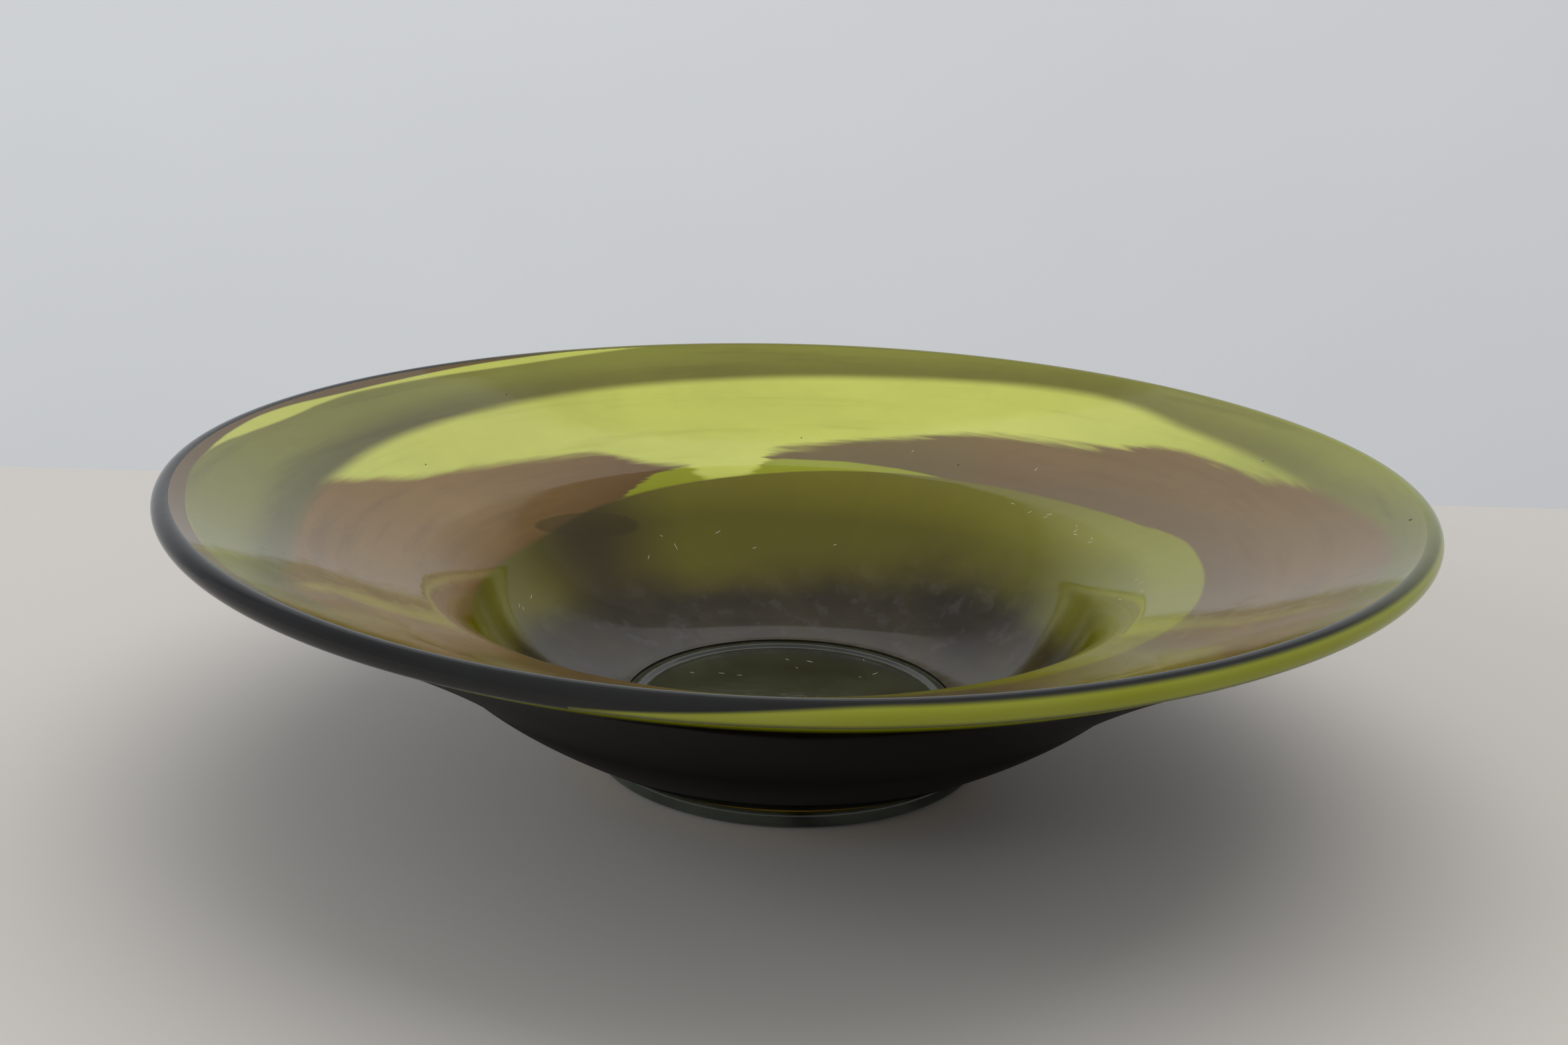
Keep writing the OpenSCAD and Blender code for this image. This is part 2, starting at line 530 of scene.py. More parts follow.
class Wiring:
    """Adds and joins shader nodes in one tree.

    Args:
        tree: The node tree to work in.
    """

    def __init__(self, tree: bpy.types.NodeTree) -> None:
        """Starts with an empty count of nodes."""
        self.tree = tree
        self._count = 0

    def add(self, kind: str, **settings: object) -> bpy.types.Node:
        """Adds a node and sets its properties."""
        node = self.tree.nodes.new(kind)
        node.location = (180 * (self._count % 12), -220 * (self._count // 12))
        self._count += 1
        for key, value in settings.items():
            setattr(node, key, value)
        return node

    def feed(self, socket: bpy.types.NodeSocket, value: object) -> None:
        """Joins a socket to another, or sets it to a constant."""
        if isinstance(value, Hue):
            value = value.value
        if isinstance(value, bpy.types.NodeSocket):
            self.tree.links.new(value, socket)
        elif isinstance(value, tuple) and socket.type == "RGBA":
            socket.default_value = (*value, 1.0)
        else:
            socket.default_value = value

    def fill(self, node: bpy.types.Node, values: dict) -> None:
        """Feeds several inputs of a node, by their names or numbers."""
        for key, value in values.items():
            self.feed(node.inputs[key], value)

    def math(self, what: str, a: Socket, b: Socket = 0.0, c: Socket = 0.0) -> Socket:
        """One arithmetic step on numbers."""
        node = self.add("ShaderNodeMath", operation=what)
        self.fill(node, {0: a, 1: b, 2: c})
        return node.outputs[0]

    def times(self, a: Socket, b: Socket) -> Socket:
        """One number times another."""
        return self.math("MULTIPLY", a, b)

    def less(self, a: Socket, b: Socket) -> Socket:
        """One number less another."""
        return self.math("SUBTRACT", a, b)

    def line(self, value: Socket, slope: Socket, base: Socket) -> Socket:
        """A number times its slope, plus a base."""
        return self.math("MULTIPLY_ADD", value, slope, base)

    def step(self, value: Socket, low: Socket, high: Socket) -> Socket:
        """Rises smoothly from 0 at low to 1 at high."""
        node = self.add("ShaderNodeMapRange", interpolation_type="SMOOTHSTEP")
        self.fill(node, {"Value": value, "From Min": low, "From Max": high})
        return node.outputs["Result"]

    def mix(self, amount: Socket, a: object, b: object) -> Socket:
        """Blends two colours."""
        node = self.add("ShaderNodeMix", data_type="RGBA")
        self.fill(node, {"Factor": amount, 6: a, 7: b})
        return node.outputs[2]

    def tint(self, under: object, over: object, value: Socket, low: float,
             high: float, most: float = 1.0) -> Socket:
        """Lays one colour over another where a number asks for it.

        Args:
            under: The colour below.
            over: The colour laid over it.
            value: The number that decides.
            low: Where the upper colour starts to show.
            high: Where it shows most; it may lie below low.
            most: How much it then covers, 0 to 1.

        Returns:
            The blended colour.
        """
        cover = self.step(value, low, high)
        return self.mix(self.times(cover, most) if most < 1 else cover, under, over)

    def noise(self, vector: Socket, scale: float, detail: float, rough: float,
              twist: float = 0.0) -> Socket:
        """A soft random pattern between 0 and 1."""
        node = self.add("ShaderNodeTexNoise")
        self.fill(node, {"Vector": vector, "Scale": scale, "Detail": detail,
                         "Roughness": rough, "Distortion": twist})
        return node.outputs["Fac"]

    def joined(self, x: Socket, y: Socket, z: Socket) -> Socket:
        """A vector from three numbers."""
        node = self.add("ShaderNodeCombineXYZ")
        self.fill(node, {0: x, 1: y, 2: z})
        return node.outputs[0]

    def curve(self, value: Socket, points: Sequence[Point]) -> Socket:
        """A number read off a curve drawn through points between 0 and 1."""
        node = self.add("ShaderNodeFloatCurve")
        self.feed(node.inputs["Value"], value)
        line = node.mapping.curves[0]
        line.points[0].location, line.points[-1].location = points[0], points[-1]
        for p in points[1:-1]:
            line.points.new(*p)
        node.mapping.update()
        return node.outputs[0]

    def ramp(self, value: Socket, stops: Sequence[tuple[float, Hue]]) -> Socket:
        """A colour read off a ramp."""
        node = self.add("ShaderNodeValToRGB")
        self.feed(node.inputs[0], value)
        band = node.color_ramp
        band.interpolation = "EASE"
        for element, (place, hue) in zip((band.elements[0], band.elements[-1]),
                                         (stops[0], stops[-1])):
            element.position, element.color = place, (*hue.value, 1.0)
        for place, hue in stops[1:-1]:
            band.elements.new(place).color = (*hue.value, 1.0)
        return node.outputs[0]


@dataclass(frozen=True)
class Polar:
    """The sockets that say where a point of the bowl lies.

    Attributes:
        place: The point itself, in millimetres, as a vector.
        radius: Distance from the axis, in millimetres.
        height: Height above the table, in millimetres.
        turn: 0 at the front, rising counter-clockwise to 1 at the front again.
        streak: A vector that changes slowly round the bowl and fast outwards.
        STREAK_ROUND: How fast that vector changes round the bowl.
        STREAK_OUT: How fast it changes outwards, for each millimetre.
    """

    STREAK_ROUND = 1.6
    STREAK_OUT = 0.16

    place: Socket
    radius: Socket
    height: Socket
    turn: Socket
    streak: Socket

    @classmethod
    def lay(cls, w: Wiring) -> "Polar":
        """Adds the nodes that measure the point.

        Args:
            w: Where the nodes go.

        Returns:
            The measured sockets.
        """
        coords = w.add("ShaderNodeTexCoord")
        place = w.add("ShaderNodeVectorMath", operation="SCALE")
        w.fill(place, {0: coords.outputs["Object"], "Scale": 1 / MM})
        split = w.add("ShaderNodeSeparateXYZ")
        w.feed(split.inputs[0], place.outputs[0])
        x, y, z = split.outputs
        radius = w.math("SQRT", w.math("ADD", w.times(x, x), w.times(y, y)))
        angle = w.math("DIVIDE", w.math("ARCTAN2", y, x), math.tau)
        turn = w.math("FRACT", w.math("ADD", angle, 1.25))
        away = w.math("MAXIMUM", radius, 1.0)
        streak = w.joined(w.times(w.math("DIVIDE", x, away), cls.STREAK_ROUND),
                          w.times(w.math("DIVIDE", y, away), cls.STREAK_ROUND),
                          w.times(radius, cls.STREAK_OUT))
        return cls(place.outputs[0], radius, z, turn, streak)


class Swirl:
    """The colours of the lining, one pattern shared by all its fields.

    Attributes:
        GROUP: Name of the node group that holds the pattern.
        LOW: Smallest radius that an edge curve can hold, in millimetres.
        HIGH: Largest radius that it can hold.
        STEPS: How many steps an edge curve takes round the bowl.
        SHOULDER: Over how many millimetres lime starts outside the green.
        leaf: The painted dark reflection under the shoulder, back left.
    """

    GROUP = "lining_swirl"
    LOW, HIGH = 60.0, 170.0
    STEPS = 72
    SHOULDER = (-0.3, 0.5)
    leaf = PaintedLeafReflection()

    def __init__(self) -> None:
        """Opens the group and adds the noises that its colours share."""
        self.tree = bpy.data.node_groups.new(self.GROUP, "ShaderNodeTree")
        for name, kind in (("Colour", "NodeSocketColor"), ("Relief", "NodeSocketFloat"),
                           ("Wear", "NodeSocketFloat")):
            self.tree.interface.new_socket(name, in_out="OUTPUT", socket_type=kind)
        w = self.w = Wiring(self.tree)
        at = self.at = Polar.lay(w)
        self.brush = w.noise(at.streak, 1.0, 4.0, 0.62)
        self.fine = w.noise(at.streak, 3.4, 3.0, 0.6)
        self.cloud = w.noise(at.place, 0.03, 3.0, 0.55, 0.4)
        self.grain = w.noise(at.place, 0.16, 4.0, 0.6, 0.3)
        self.haze = w.noise(at.place, 0.011, 2.0, 0.5)

    def swing(self, noise: Socket, reach: float, base: Socket) -> Socket:
        """A number that a noise pushes up and down, half its reach each way."""
        return self.w.line(self.w.less(noise, 0.5), reach, base)

    def wandered(self, reach: float) -> Socket:
        """The point's direction, pushed about by both brush noises."""
        both = self.swing(self.brush, 1.0, self.w.less(self.fine, 0.5))
        return self.w.line(both, reach, self.at.turn)

    def edge(self, turn: Socket, edge: Edge) -> Socket:
        """Radius of a field's edge in the direction of the point.

        Args:
            turn: The point's direction, 0 to 1 from the front.
            edge: The edge to read.

        Returns:
            The radius in millimetres.
        """
        span = self.HIGH - self.LOW
        places = np.linspace(0, 1, self.STEPS + 1)
        radii = drawn_radius(edge, places * 360 - 90)
        points = [(float(t), float((r - self.LOW) / span))
                  for t, r in zip(places, radii)]
        return self.w.line(self.w.curve(turn, points), span, self.LOW)

    def colours(self, from_green: Socket, from_olive: Socket) -> tuple[Socket, ...]:
        """The fields' own colours, varied round the bowl and outwards.

        Args:
            from_green: Millimetres outside the green field.
            from_olive: Millimetres outside the olive field's inner edge.

        Returns:
            Smoke, green, amber, lime and olive.
        """
        w, turn = self.w, self.at.turn
        lime = w.ramp(turn, [(0.0, Hue.LIME_DULL), (0.27, Hue.LIME_DULL),
                             (0.40, Hue.LIME), (0.74, Hue.LIME),
                             (1.0, Hue.LIME_DULL)])
        lime = w.tint(lime, Hue.LIME_DULL, self.brush, 0.52, 0.78, 0.35)
        olive = w.ramp(turn, [(0.0, Hue.OLIVE_GREY), (0.30, Hue.OLIVE),
                              (0.55, Hue.OLIVE), (0.66, Hue.OLIVE_GREY),
                              (1.0, Hue.OLIVE_GREY)])
        olive = w.tint(olive, Hue.LIME_DULL, from_olive, 2.0, 13.0, 0.38)
        olive = w.tint(olive, Hue.GREEN_DARK, self.brush, 0.5, 0.8, 0.35)
        amber = w.ramp(turn, [(0.0, Hue.AMBER_GREY), (0.34, Hue.AMBER_GREY),
                              (0.46, Hue.AMBER_DARK), (0.58, Hue.AMBER_DARK),
                              (0.70, Hue.AMBER), (1.0, Hue.AMBER_GREY)])
        amber = w.tint(amber, Hue.AMBER, from_green, 3.0, 22.0, 0.45)
        amber = w.tint(amber, Hue.AMBER_DARK, self.brush, 0.42, 0.7, 0.5)
        amber = w.tint(amber, Hue.OLIVE_GREY, self.haze, 0.5, 0.66, 0.35)
        green = w.ramp(turn, [(0.0, Hue.GREEN), (0.25, Hue.GREEN_BRIGHT),
                              (0.42, Hue.GREEN), (0.56, Hue.GREEN),
                              (0.63, Hue.GREEN_DARK), (0.70, Hue.GREEN),
                              (1.0, Hue.GREEN)])
        green = w.tint(green, Hue.GREEN_DARK, from_green, -9.0, -20.0, 0.30)
        smoke = w.tint(Hue.SMOKE_DARK, Hue.SMOKE, self.cloud, 0.36, 0.66)
        smoke = w.tint(smoke, Hue.SMOKE_VIOLET, self.grain, 0.5, 0.7, 0.6)
        return smoke, green, amber, lime, olive

    def stacked(self) -> Socket:
        """The fields laid one over another, from the middle outwards."""
        w, at = self.w, self.at
        ragged, soft = self.wandered(0.016), self.wandered(0.010)
        ragged_r = self.swing(self.fine, 2.0, at.radius)
        from_green = w.less(at.radius, self.edge(soft, Edge.GREEN))
        from_olive = w.less(at.radius, self.edge(soft, Edge.OLIVE))
        smoke, green, amber, lime, olive = self.colours(from_green, from_olive)
        blurred = self.swing(self.cloud, 9.0, at.radius)
        colour = w.tint(smoke, green, w.less(blurred, self.edge(at.turn, Edge.POOL)),
                        -12.0, 1.5)
        colour = w.tint(colour, amber, from_green, -0.7, 0.5)
        outside = w.step(from_green, *self.SHOULDER)
        tongue = w.step(w.less(self.edge(ragged, Edge.TONGUE), ragged_r), -0.2, 0.6)
        colour = w.mix(w.times(outside, tongue), colour, Hue.LIME_DEEP)
        past = self.swing(self.brush, 13.0,
                          w.less(ragged_r, self.edge(ragged, Edge.AMBER)))
        colour = w.mix(w.times(w.step(past, -2.6, 2.8), outside), colour, lime)
        colour = w.tint(colour, olive, from_olive, -3.4, 1.3)
        strip = w.step(w.less(at.radius, self.edge(soft, Edge.STREAK_IN)), -0.4, 0.5)
        colour = w.mix(strip, colour, Hue.AMBER_GREY)
        inside = w.step(w.less(self.edge(soft, Edge.STREAK_OUT), at.radius), -0.3, 0.3)
        return w.mix(w.times(strip, inside), colour, Hue.LIME)

    def add_leaf_reflection(self, colour: Socket) -> Socket:
        """Lays the leaf-shaped painted dark reflection over the colours."""
        w, at, leaf = self.w, self.at, self.leaf
        degrees = w.line(at.turn, 360.0, -90.0)
        along = w.math("DIVIDE", w.less(degrees, leaf.angle), leaf.half_angle)
        middle = w.line(along, leaf.lean, leaf.radius)
        across = w.math("DIVIDE", w.less(at.radius, middle), leaf.half_width)
        spread = w.math("ADD", w.times(along, along), w.times(across, across))
        # painted reflection: a dark leaf in the green field under the shoulder
        return w.tint(colour, Hue.GREEN_DARK, spread, 1.15, 0.85, 0.6)

    def build(self) -> None:
        """Wires the group's outputs: the colour, the relief and the wear."""
        w = self.w
        tone = w.times(self.swing(self.cloud, 0.22, 1.0),
                       self.swing(self.grain, 0.10, 1.0))
        shade = w.add("ShaderNodeVectorMath", operation="SCALE")
        w.fill(shade, {0: self.add_leaf_reflection(self.stacked()), "Scale": tone})
        w.fill(w.add("NodeGroupOutput"), {
            "Colour": shade.outputs[0],
            "Relief": w.line(self.cloud, 0.35, self.haze),
            "Wear": w.step(self.grain, 0.45, 0.8)})


# Finishes


@dataclass(frozen=True)
class Finish:
    """A surface finish: makes one material.

    Attributes:
        name: Name of the material.
        gloss: Roughness of the polished surface.
        wavy: Strength of the slow unevenness in the reflections.
    """

    name: str
    gloss: float = 0.07
    wavy: float = 0.05

    def make(self) -> bpy.types.Material:
        """Makes the material."""
        material = bpy.data.materials.new(self.name)
        material.use_nodes = True
        material.node_tree.nodes.clear()
        w = Wiring(material.node_tree)
        shader = w.add("ShaderNodeBsdfPrincipled")
        w.feed(w.add("ShaderNodeOutputMaterial").inputs["Surface"], shader.outputs[0])
        w.fill(shader, {"IOR": 1.5})
        self.paint(w, shader)
        return material

    def paint(self, w: Wiring, shader: bpy.types.Node) -> None:
        """Wires the shader's inputs, as each finish needs."""
        raise NotImplementedError

    def dull(self, w: Wiring, shader: bpy.types.Node, pattern: Socket,
             most: float) -> None:
        """Roughens the polish where a pattern is high, by as much as most."""
        w.fill(shader, {"Roughness": w.line(pattern, most, self.gloss)})

    def relieve(self, w: Wiring, shader: bpy.types.Node, height: Socket,
                distance: float) -> None:
        """Gives the shader a bump from a height."""
        bump = w.add("ShaderNodeBump")
        w.fill(bump, {"Strength": self.wavy, "Distance": distance, "Height": height})
        w.fill(shader, {"Normal": bump.outputs[0]})


@dataclass(frozen=True)
class LiningGlass(Finish):
    """Polished glass over the swirled colours.

    Attributes:
        worn: How much the gloss is dulled in patches.
    """

    worn: float = 0.10

    def paint(self, w: Wiring, shader: bpy.types.Node) -> None:
        """Wires the shared swirl to the shader."""
        group = w.add("ShaderNodeGroup")
        group.node_tree = bpy.data.node_groups[Swirl.GROUP]
        w.fill(shader, {"Base Color": group.outputs["Colour"],
                        "Specular IOR Level": 0.4})
        self.dull(w, shader, group.outputs["Wear"], self.worn)
        self.relieve(w, shader, group.outputs["Relief"], 0.004)


@dataclass(frozen=True)
class CasingGlass(Finish):
    """Near-black smoky outside glass, with a painted ochre glow above the foot and a
    painted lime glow below the near lip.

    Attributes:
        painted_glow_at: Heights where the painted ochre glow starts and where it is
            full.
        painted_rim_glow_at: Radii where the painted lime glow under the near lip starts
            and is full.
    """

    painted_glow_at: Point = (9.0, 5.5)
    painted_rim_glow_at: Point = (147.0, 157.0)

    def paint(self, w: Wiring, shader: bpy.types.Node) -> None:
        """Wires the brown clouds, the painted ochre glow line above the foot and the
        painted lime glow by the lip.
        """
        at = Polar.lay(w)
        cloud = w.noise(at.place, 0.022, 3.0, 0.5, 0.3)
        brush = w.noise(at.streak, 1.4, 4.0, 0.6)
        colour = w.tint(Hue.CASING, Hue.CASING_BROWN, cloud, 0.45, 0.75, 0.5)
        # painted glow: an ochre line of light shining through the glass just above the
        # foot
        painted_glow = w.times(w.step(at.height, *self.painted_glow_at), w.step(brush, 0.25, 0.6))
        colour = w.mix(w.times(painted_glow, 0.95), colour, Hue.OCHRE)
        # painted glow: lime light just under the lip, on the front and sides only
        from_back = w.math("ABSOLUTE", w.less(at.turn, 0.5))
        painted_rim_glow = w.times(w.step(at.radius, *self.painted_rim_glow_at),
                        w.step(from_back, 0.10, 0.30))
        colour = w.mix(w.times(painted_rim_glow, 0.85), colour, Hue.LIME_DEEP)
        w.fill(shader, {"Base Color": colour, "Specular IOR Level": 0.0,
                        "Coat Weight": 0.16, "Coat Roughness": 0.05})
        self.dull(w, shader, w.step(brush, 0.4, 0.8), 0.06)
        self.relieve(w, shader, w.line(brush, 0.12, cloud), 0.004)


@dataclass(frozen=True)
class LipGlass(Finish):
    """The rounded lip, fire-polished.

    Attributes:
        main: Colour of most of the lip.
        second: Colour of its slow streaks.
        smoky_at: Directions where the smoke grey starts and where it is full.
        limed_at: Directions where the lime starts to return and where it is full.
    """

    main: Hue = Hue.LIME_DEEP
    second: Hue = Hue.OLIVE
    smoky_at: Point = (0.53, 0.635)
    limed_at: Point = (0.70, 0.90)

    def lime_side(self, w: Wiring, at: Polar, colour: Socket) -> Socket:
        """Colours the lime part: olive at the back, a painted grey reflection above and
        darker below.

        Args:
            w: Where the nodes go.
            at: The point's place.
            colour: The lime part's own colour.

        Returns:
            The shaded colour.
        """
        up = w.add("ShaderNodeAttribute", attribute_name=Lip.UP).outputs["Fac"]
        from_left = w.math("FRACT", w.math("ADD", at.turn, 0.25))
        from_back = w.math("ABSOLUTE", w.less(at.turn, 0.5))
        colour = w.tint(colour, Hue.OLIVE, from_back, 0.28, 0.12, 0.85)
        # painted reflection: steel grey on the lip's upper side, reaching lower toward
        # the left front and fading out to the right
        level = w.line(w.step(from_left, 0.195, 0.27), 1.45, -0.9)
        grey = w.times(w.step(w.less(up, level), 0.0, 0.35),
                       w.step(from_left, 0.56, 0.36))
        colour = w.mix(grey, colour, Hue.STEEL)
        return w.tint(colour, Hue.CASING, up, -0.35, -0.9, 0.85)

    def paint(self, w: Wiring, shader: bpy.types.Node) -> None:
        """Wires the streaks, and the fade of each part into the other."""
        at = Polar.lay(w)
        slow = w.noise(at.streak, 0.9, 3.0, 0.55)
        cloud = w.noise(at.place, 0.05, 3.0, 0.5)
        colour = w.tint(self.main, self.second, slow, 0.35, 0.7)
        smoky = w.step(at.turn, *self.smoky_at)
        if self.main is Hue.LIME_DEEP:
            colour = self.lime_side(w, at, colour)
            early = w.times(smoky, w.step(at.turn, *self.limed_at[::-1]))
            colour = w.mix(early, colour, Hue.STEEL_DARK)
        else:
            colour = w.mix(smoky, Hue.OLIVE, colour)
        w.fill(shader, {"Base Color": colour, "Specular IOR Level": 0.3})
        self.dull(w, shader, cloud, 0.05)
        self.relieve(w, shader, cloud, 0.003)


@dataclass(frozen=True)
class ClearGlass(Finish):
    """Clear grey-green glass, for the foot, the disc and the seed bubbles.

    Attributes:
        main: Its colour.
        second: Colour of its faint clouds.
        through: How much light goes through, 0 to 1.
    """

    main: Hue = Hue.LENS
    second: Hue = Hue.LENS_DARK
    through: float = 0.6

    def paint(self, w: Wiring, shader: bpy.types.Node) -> None:
        """Wires the faint clouds and fine scratches."""
        at = Polar.lay(w)
        cloud = w.noise(at.place, 0.035, 3.0, 0.55, 0.4)
        fine = w.noise(at.place, 0.5, 3.0, 0.6)
        w.fill(shader, {"Base Color": w.tint(self.main, self.second, cloud, 0.35, 0.7),
                        "Transmission Weight": self.through})
        self.dull(w, shader, w.step(fine, 0.5, 0.8), 0.08)
        self.relieve(w, shader, w.line(fine, 0.1, cloud), 0.003)


@dataclass(frozen=True)
class FleckFinish(Finish):
    """Chalky white of small nicks and scratches."""

    def paint(self, w: Wiring, shader: bpy.types.Node) -> None:
        """Wires the chalky colour."""
        fine = w.noise(Polar.lay(w).place, 1.5, 2.0, 0.5)
        w.fill(shader, {"Base Color": w.tint(Hue.FLECK, Hue.LIME_DULL, fine, 0.3, 0.8)})
        self.dull(w, shader, fine, 0.3)


@dataclass(frozen=True)
class StageFinish(Finish):
    """Plain pale table top or wall.

    Attributes:
        tone: Its linear colour.
        lift: How much paler it is in places.
    """

    tone: Colour = (0.56, 0.53, 0.49)
    lift: float = 1.04

    def paint(self, w: Wiring, shader: bpy.types.Node) -> None:
        """Wires the plain colour, a little uneven."""
        cloud = w.noise(Polar.lay(w).place, 0.004, 2.0, 0.5)
        paler = tuple(c * self.lift for c in self.tone)
        w.fill(shader, {"Base Color": w.mix(cloud, self.tone, paler),
                        "Roughness": self.gloss, "Specular IOR Level": 0.2})


# Pieces


def settle(obj: bpy.types.Object, finish: Finish, slot: str,
           stands: bool = True) -> bpy.types.Object:
    """Dresses a finished piece, hangs it under the root and hides the frame's part that
    it replaces.

    Args:
        obj: The piece.
        finish: Its finish.
        slot: Name of the frame's part that it replaces.
        stands: Whether it stands for the frame's node of that name.

    Returns:
        The same piece.
    """
    obj.data.materials.clear()
    obj.data.materials.append(finish.make())
    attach(obj, "root")
    if stands:
        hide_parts(slot)
    LOG.info("%s: %d vertices", obj.name, len(obj.data.vertices))
    return obj


@dataclass
class Casing:
    """The smoky outer gather, from the foot to the lip.

    Attributes:
        form: The bowl's shape.
    """

    form: Form

    def section(self) -> list[Point]:
        """The casing's closed outline."""
        f = self.form
        top = sunk(f.inside(), f.lining)
        centre = np.array(f.lip_centre)
        clear = [p for p in top if np.linalg.norm(p - centre) > f.lip_r + 0.05
                 and p[0] > f.lens_r]
        last = clear[-1] - centre
        start = math.degrees(math.atan2(last[1], last[0]))
        arc = [f.on_lip(a) for a in np.linspace(start % 360, 360 + f.under_at, 22)]
        out = f.outside()[::-1]
        rows = [(f.lens_r, f.floor_h - f.lining)]
        rows += [(float(r), float(z)) for r, z in clear]
        rows += arc
        rows += [(float(r), float(z)) for r, z in out[1:]]
        rows += [(f.lens_r, f.foot_h)]
        return rows

    def build(self) -> bpy.types.Object:
        """Turns the casing."""
        obj = Bench.turned("smoky_casing", self.section(), steps=240)
        Bench.smooth(obj, 32)
        return settle(obj, CasingGlass("casing_glass", gloss=0.06, wavy=0.06),
                      "outer_casing")


@dataclass
class ColourField:
    """One colour field of the lining.

    Attributes:
        name: Short name of the field.
        node: The frame's node that it stands for.
        form: The bowl's shape.
        outer: The edge that the field reaches; it starts at the edge before.
        start: Angle where the field starts, in degrees.
        sweep: How far it goes round, in degrees.
        rings: How many strips across it.
    """

    name: str
    node: str
    form: Form
    outer: Edge
    start: float = 0.0
    sweep: float = 360.0
    rings: int = 20

    def edges(self, track: Track, degrees: np.ndarray) -> tuple[np.ndarray, np.ndarray]:
        """How far along the inside surface the two edges lie at each angle.

        Args:
            track: The inside surface.
            degrees: Angles in degrees.

        Returns:
            Distances to the inner and the outer edge, in millimetres.
        """
        low, high = (track.run_at(edge_radius(self.form, edge, degrees))
                     for edge in (Edge(self.outer.value - 1), self.outer))
        return np.minimum(low, track.length), np.minimum(high, track.length)

    def build(self) -> bpy.types.Object:
        """Lays the field on the inside surface and gives it its thickness."""
        Bench.clear()
        bpy.ops.mesh.primitive_grid_add(x_subdivisions=round(self.sweep),
                                        y_subdivisions=self.rings, size=2.0)
        obj = bpy.context.object
        obj.name = obj.data.name = f"field_{self.name}"
        flat = Bench.points(obj)
        degrees = self.start + self.sweep * (flat[:, 0] + 1) / 2
        across = (flat[:, 1] + 1) / 2
        track = Track(self.form.inside())
        low, high = self.edges(track, degrees)
        run = low + (high - low) * across
        radius, height = track.place(run)
        turn = np.radians(degrees)
        co = np.stack([radius * np.cos(turn), radius * np.sin(turn), height], 1) * MM
        Bench.place(obj, hand_made(co))
        with Bench.editing(obj):
            bpy.ops.mesh.remove_doubles(threshold=2 * Bench.MERGE)
            bpy.ops.mesh.delete_loose(use_verts=True, use_edges=True, use_faces=False)
            bpy.ops.mesh.select_all(action="SELECT")
            bpy.ops.mesh.normals_make_consistent(inside=False)
        if sum(p.normal.z * p.area for p in obj.data.polygons) < 0:
            with Bench.editing(obj):
                bpy.ops.mesh.flip_normals()
        wall = obj.modifiers.new("wall", "SOLIDIFY")
        wall.thickness = self.form.lining * MM
        wall.offset = -1.0
        Bench.apply(obj, wall)
        Bench.smooth(obj, 50)
        return settle(obj, LiningGlass(f"lining_{self.name}"), self.node)


@dataclass
class Lip:
    """The rounded lip, in a lime part and a smoke-grey part.

    Attributes:
        form: The bowl's shape.
        smoke_from: Angle where the grey part starts, in degrees.
        smoke_to: Angle where it ends, in degrees.
        UP: Name of the attribute that holds how high a point lies on the section.
        STEPS_PER_DEGREE: How finely the lip is turned.
    """

    UP = "lip_up"
    STEPS_PER_DEGREE = 0.72
    form: Form
    smoke_from: float = 120.0
    smoke_to: float = 255.0

    def arc(self, name: str, node: str, start: float, sweep: float,
            finish: Finish) -> bpy.types.Object:
        """Turns one part of the lip.

        Args:
            name: Name of the piece.
            node: The frame's node that it stands for.
            start: Angle where it starts, in degrees.
            sweep: How far it goes, in degrees.
            finish: Its finish.

        Returns:
            The new piece.
        """
        ring = [self.form.on_lip(a) for a in np.linspace(0, 360, 41)[:-1]]
        obj = Bench.turned(name, ring, steps=int(sweep * self.STEPS_PER_DEGREE),
                           start=start, sweep=sweep)
        x, y, z = Bench.points(obj).T / MM
        up = rim_sway(np.arctan2(y, x))[1]
        above = (z - self.form.lip_centre[1] - up) / self.form.lip_r
        layer = obj.data.attributes.new(self.UP, "FLOAT", "POINT")
        layer.data.foreach_set("value", above.astype(np.float32))
        Bench.smooth(obj, 50)
        return settle(obj, finish, node)

    def build(self) -> None:
        """Turns both parts."""
        span = self.smoke_to - self.smoke_from
        self.arc("lip_of_lime", "lip_lime", self.smoke_to, 360 - span,
                 LipGlass("lip_lime_glass", gloss=0.05, main=Hue.LIME_DEEP,
                          second=Hue.LIME_DULL))
        self.arc("lip_of_smoke", "lip_smoke", self.smoke_from, span,
                 LipGlass("lip_smoke_glass", gloss=0.05, main=Hue.STEEL_DARK,
                          second=Hue.STEEL))


